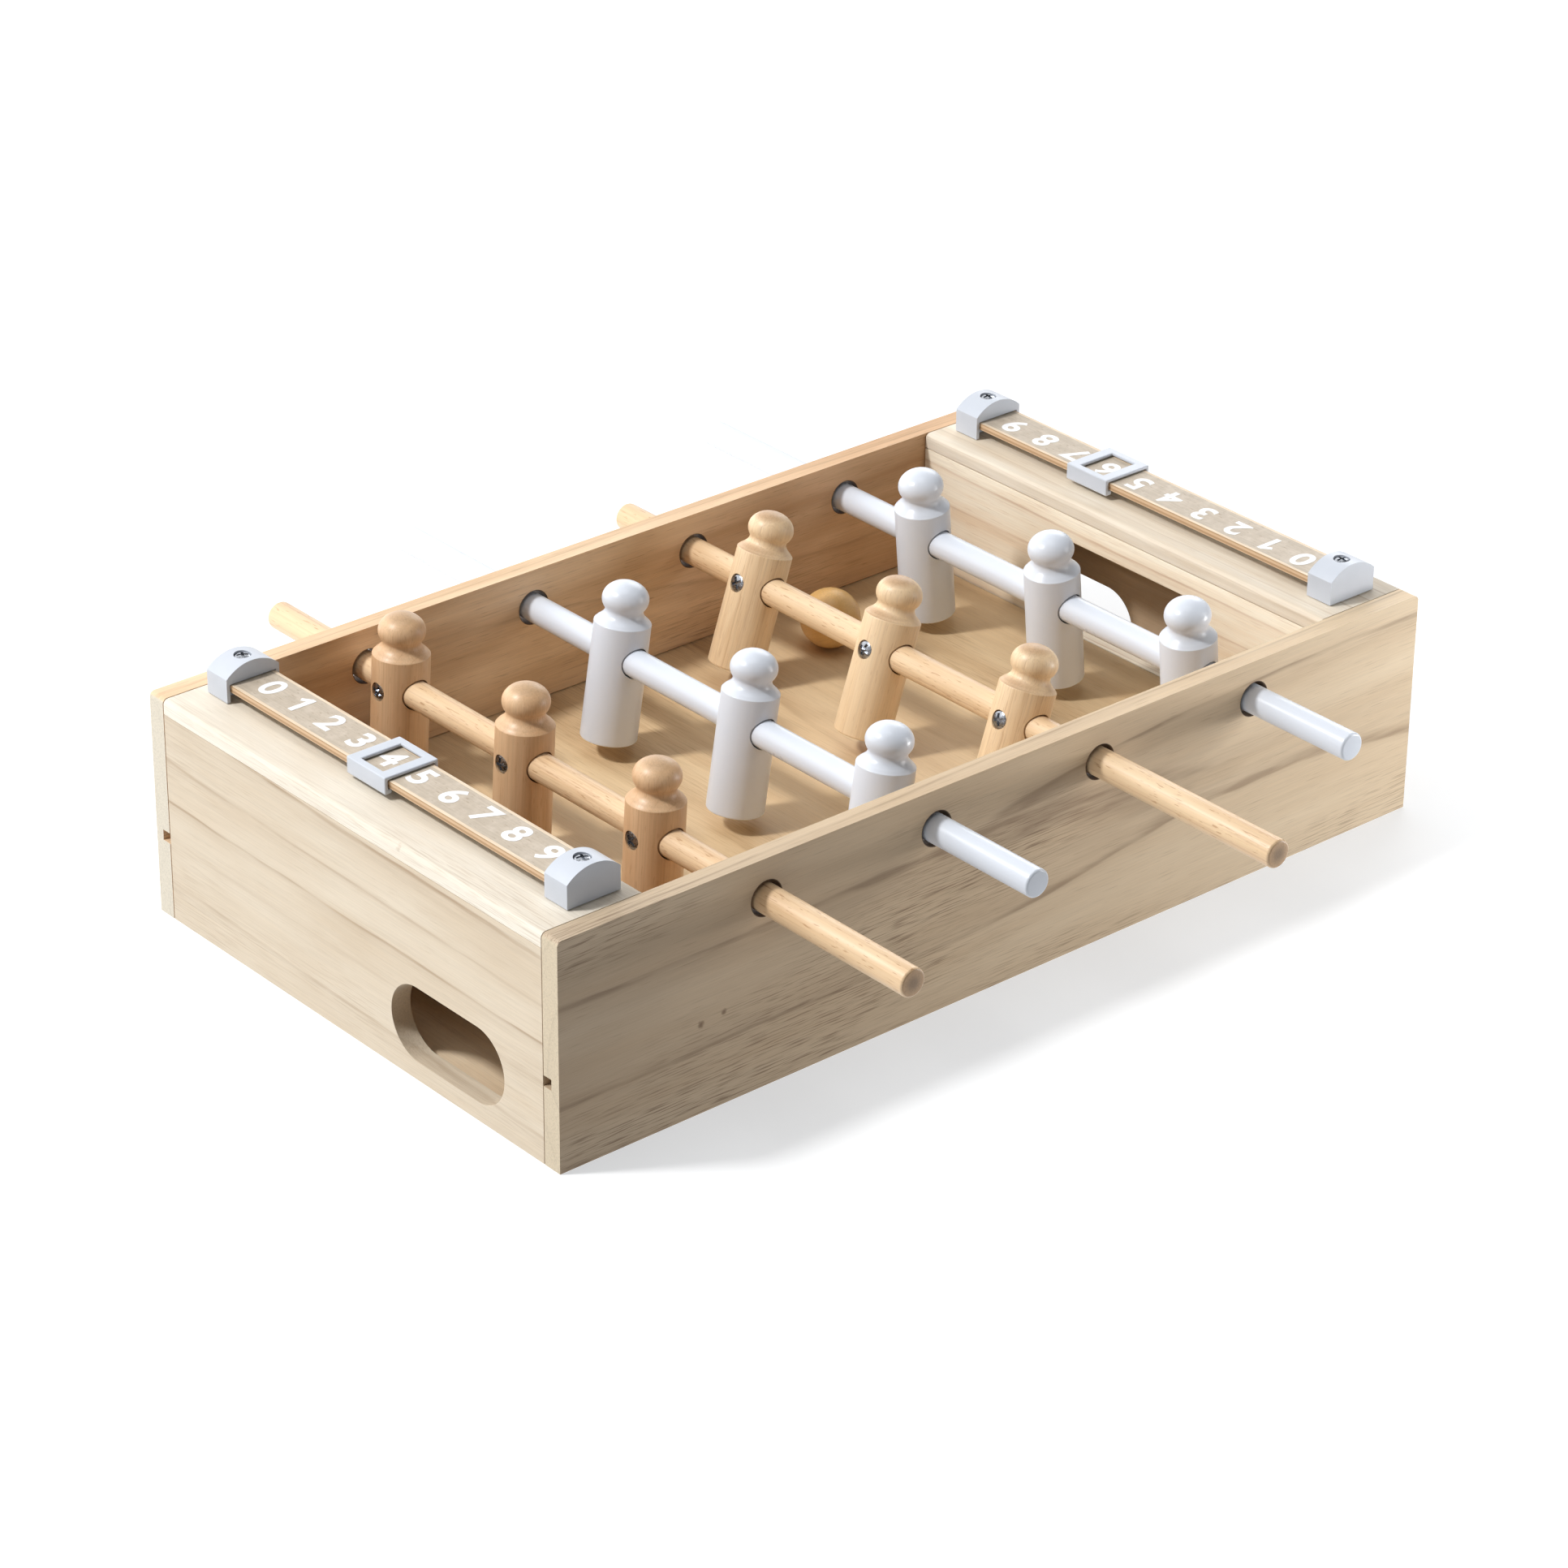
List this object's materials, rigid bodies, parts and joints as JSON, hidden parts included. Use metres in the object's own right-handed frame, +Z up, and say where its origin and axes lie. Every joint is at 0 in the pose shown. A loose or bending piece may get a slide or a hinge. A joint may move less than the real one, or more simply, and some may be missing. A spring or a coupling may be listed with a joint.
{
  "type": "foosball table",
  "caption": "Small tabletop foosball table: open wooden box with sliding, spinning rods of turned peg players, goals with ball returns and sliding score counters.",
  "frame": {"origin": "middle of the underside of the box, on the surface that the table stands on", "axes": "+X along the table from the left goal to the right goal, +Y along the rods from the front side to the rear side, +Z up"},
  "size_m": [0.348, 0.3376, 0.0883],
  "materials": {
    "case_wood": "pale sanded softwood, satin",
    "pitch_wood": "tan plywood, satin",
    "player_wood": "natural beech, satin",
    "white_paint": "white gloss paint over wood",
    "white_plastic": "moulded, semi-gloss",
    "strip_print": "printed thin plywood, satin",
    "screw_zinc": "dark zinc plating",
    "ball_wood": "turned, clear satin"
  },
  "bodies": {
    "table": {"side_panel_front": "case_wood", "side_panel_rear": "case_wood", "end_panel_left": "case_wood", "end_panel_right": "case_wood", "goal_wall_left": "case_wood", "goal_wall_right": "case_wood", "top_plank_left": "case_wood", "top_plank_right": "case_wood", "base_board": "case_wood", "playfield_board": "pitch_wood", "scorer_strip_left": "strip_print", "scorer_strip_right": "strip_print", "scorer_cap_left_front": "white_plastic", "scorer_cap_left_rear": "white_plastic", "scorer_cap_right_front": "white_plastic", "scorer_cap_right_rear": "white_plastic", "scorer_cap_screw_left_front": "screw_zinc", "scorer_cap_screw_left_rear": "screw_zinc", "scorer_cap_screw_right_front": "screw_zinc", "scorer_cap_screw_right_rear": "screw_zinc"},
    "rod_1_dowel": {"rod_1": "player_wood"},
    "rod_1_players": {"player_1_front": "player_wood", "player_1_middle": "player_wood", "player_1_rear": "player_wood", "player_screw_1_front": "screw_zinc", "player_screw_1_middle": "screw_zinc", "player_screw_1_rear": "screw_zinc"},
    "rod_2_dowel": {"rod_2": "white_paint"},
    "rod_2_players": {"player_2_front": "white_paint", "player_2_middle": "white_paint", "player_2_rear": "white_paint", "player_screw_2_front": "screw_zinc", "player_screw_2_middle": "screw_zinc", "player_screw_2_rear": "screw_zinc"},
    "rod_3_dowel": {"rod_3": "player_wood"},
    "rod_3_players": {"player_3_front": "player_wood", "player_3_middle": "player_wood", "player_3_rear": "player_wood", "player_screw_3_front": "screw_zinc", "player_screw_3_middle": "screw_zinc", "player_screw_3_rear": "screw_zinc"},
    "rod_4_dowel": {"rod_4": "white_paint"},
    "rod_4_players": {"player_4_front": "white_paint", "player_4_middle": "white_paint", "player_4_rear": "white_paint", "player_screw_4_front": "screw_zinc", "player_screw_4_middle": "screw_zinc", "player_screw_4_rear": "screw_zinc"},
    "scorer_slider_left": {"scorer_slider_left": "white_plastic"},
    "scorer_slider_right": {"scorer_slider_right": "white_plastic"},
    "ball": {"ball": "ball_wood"}
  },
  "joints": [
    {"name": "rod_1_slide", "type": "slide", "parent": "table", "child": "rod_1_dowel", "axis": [0, 1, 0], "range_m": [-0.0344, 0.0074]},
    {"name": "rod_1_spin", "type": "hinge", "parent": "rod_1_dowel", "child": "rod_1_players", "pos_m": [-0.0973, 0, 0.063], "axis": [0, 1, 0], "continuous": true},
    {"name": "rod_2_slide", "type": "slide", "parent": "table", "child": "rod_2_dowel", "axis": [0, 1, 0], "range_m": [-0.0081, 0.0337]},
    {"name": "rod_2_spin", "type": "hinge", "parent": "rod_2_dowel", "child": "rod_2_players", "pos_m": [-0.0314, 0, 0.063], "axis": [0, 1, 0], "continuous": true},
    {"name": "rod_3_slide", "type": "slide", "parent": "table", "child": "rod_3_dowel", "axis": [0, 1, 0], "range_m": [-0.0195, 0.0223]},
    {"name": "rod_3_spin", "type": "hinge", "parent": "rod_3_dowel", "child": "rod_3_players", "pos_m": [0.0351, 0, 0.063], "axis": [0, 1, 0], "continuous": true},
    {"name": "rod_4_slide", "type": "slide", "parent": "table", "child": "rod_4_dowel", "axis": [0, 1, 0], "range_m": [-0.0119, 0.0299]},
    {"name": "rod_4_spin", "type": "hinge", "parent": "rod_4_dowel", "child": "rod_4_players", "pos_m": [0.101, 0, 0.063], "axis": [0, 1, 0], "continuous": true},
    {"name": "scorer_left_slide", "type": "slide", "parent": "table", "child": "scorer_slider_left", "axis": [0, 1, 0], "range_m": [-0.0745, 0.0605]},
    {"name": "scorer_right_slide", "type": "slide", "parent": "table", "child": "scorer_slider_right", "axis": [0, 1, 0], "range_m": [-0.0915, 0.0435]},
    {"name": "ball_roll", "type": "slide", "parent": "table", "child": "ball", "axis": [0, 1, 0], "range_m": [-0.1445, 0.0205]}
  ]
}
